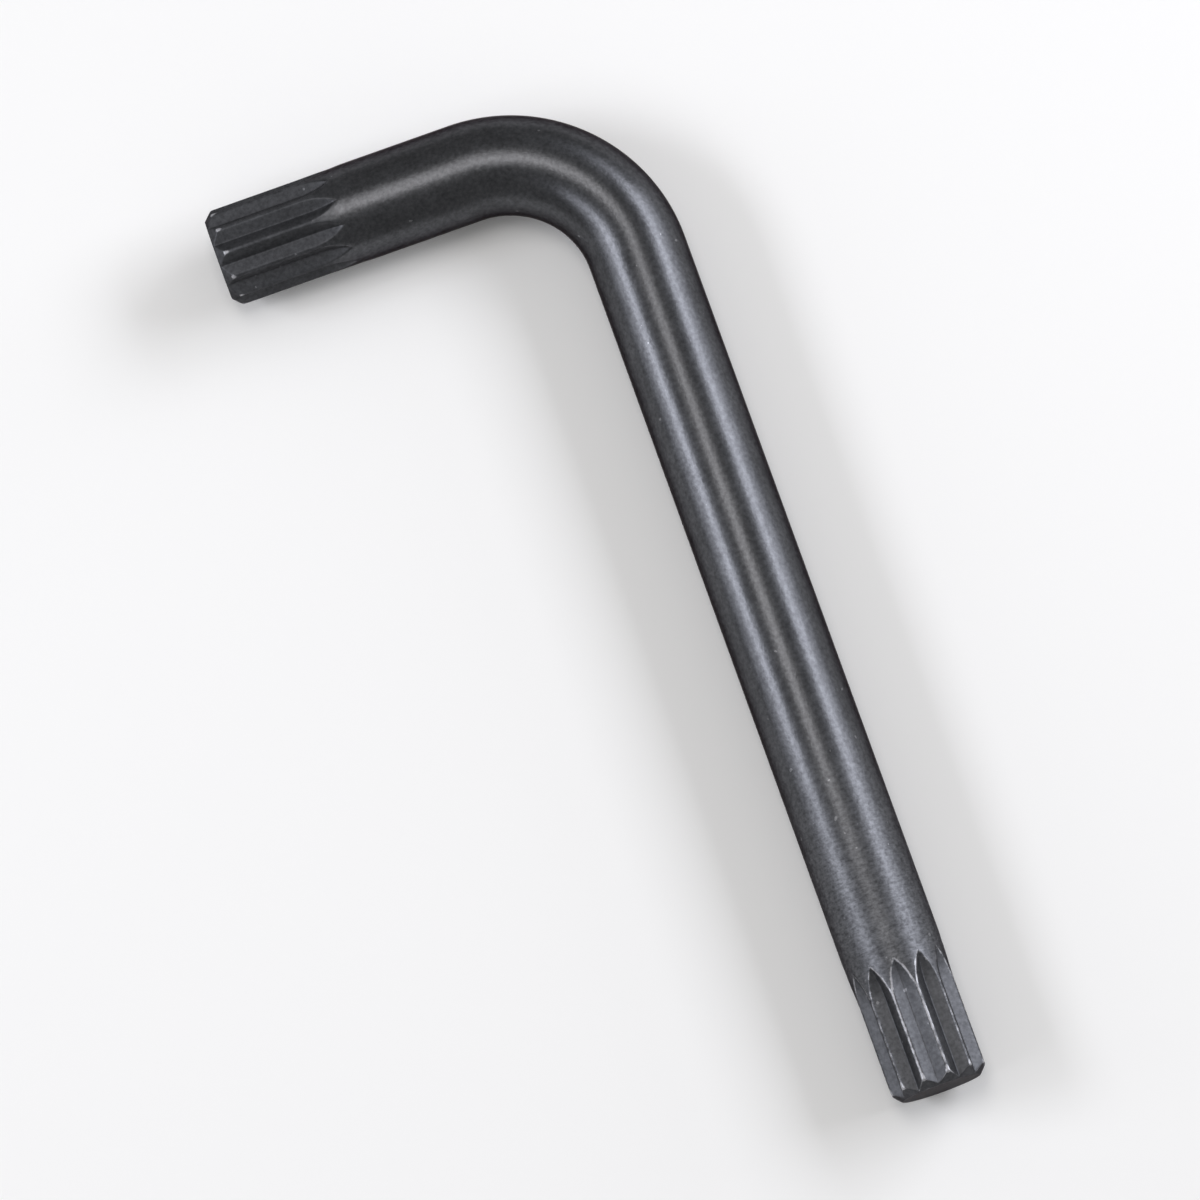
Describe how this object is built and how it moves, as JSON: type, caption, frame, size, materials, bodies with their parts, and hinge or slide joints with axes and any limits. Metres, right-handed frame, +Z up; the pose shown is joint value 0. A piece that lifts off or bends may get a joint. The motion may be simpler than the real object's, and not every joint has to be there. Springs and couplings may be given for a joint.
{
  "type": "triple square key",
  "caption": "L-shaped key bent from one blackened round steel bar, with a fluted star drive at the end of each arm for turning screws with a matching star socket.",
  "frame": {"origin": "on the surface that the key lies on, under the middle of the rectangle that the L fills", "axes": "+Y along the long arm from its tip to the bend, +X along the short arm from its tip to the bend, +Z up from the surface"},
  "size_m": [0.0446, 0.107, 0.01],
  "materials": {
    "blackened_steel": "satin black oxide, worn bright on the ridges of the flutes"
  },
  "bodies": {
    "root": {"long_drive_tip": "blackened_steel", "long_arm": "blackened_steel", "bend": "blackened_steel", "short_arm": "blackened_steel", "short_drive_tip": "blackened_steel"}
  },
  "joints": []
}
